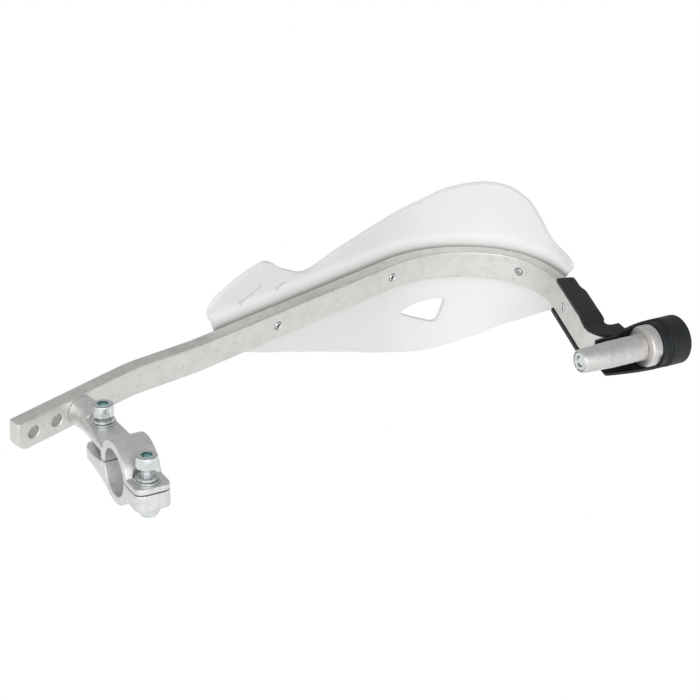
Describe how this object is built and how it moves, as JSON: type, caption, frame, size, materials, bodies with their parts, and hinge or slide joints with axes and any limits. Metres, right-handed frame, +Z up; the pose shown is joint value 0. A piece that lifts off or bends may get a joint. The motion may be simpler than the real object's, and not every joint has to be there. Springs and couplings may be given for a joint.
{
  "type": "motorcycle hand guard",
  "caption": "Wrap-around motorcycle hand guard: bent flat bar with a two-piece handlebar clamp, a translucent shield and an expanding bar-end insert in a plastic cover.",
  "frame": {"origin": "centre of the handlebar clamp's bore", "axes": "+X outboard along the handlebar, +Y forward away from the rider, +Z up along the clamp bolts"},
  "size_m": [0.3471, 0.1598, 0.0999],
  "materials": {
    "bar_aluminium": "satin",
    "cast_aluminium": "as cast",
    "turned_aluminium": "turned",
    "shield_plastic": "satin translucent",
    "black_plastic": "fine texture",
    "zinc_steel": "bright zinc"
  },
  "bodies": {
    "root": {"guard_bar": "bar_aluminium", "shield": "shield_plastic", "end_cover": "black_plastic", "clamp_upper": "cast_aluminium", "clamp_lower": "cast_aluminium", "clamp_bolt_front": "zinc_steel", "clamp_bolt_rear": "zinc_steel", "spring_washer_front": "zinc_steel", "spring_washer_rear": "zinc_steel", "flat_washer_front": "zinc_steel", "flat_washer_rear": "zinc_steel", "clamp_nut": "zinc_steel", "boss_bolt": "zinc_steel", "boss_washer": "zinc_steel", "shield_screw_1": "zinc_steel", "shield_screw_2": "zinc_steel", "shield_screw_3": "zinc_steel", "shield_screw_4": "zinc_steel", "expander_sleeve": "turned_aluminium", "cone_nut": "zinc_steel", "spacer_collar": "turned_aluminium", "bar_end_bolt": "zinc_steel", "bar_end_washer": "zinc_steel"}
  },
  "joints": []
}
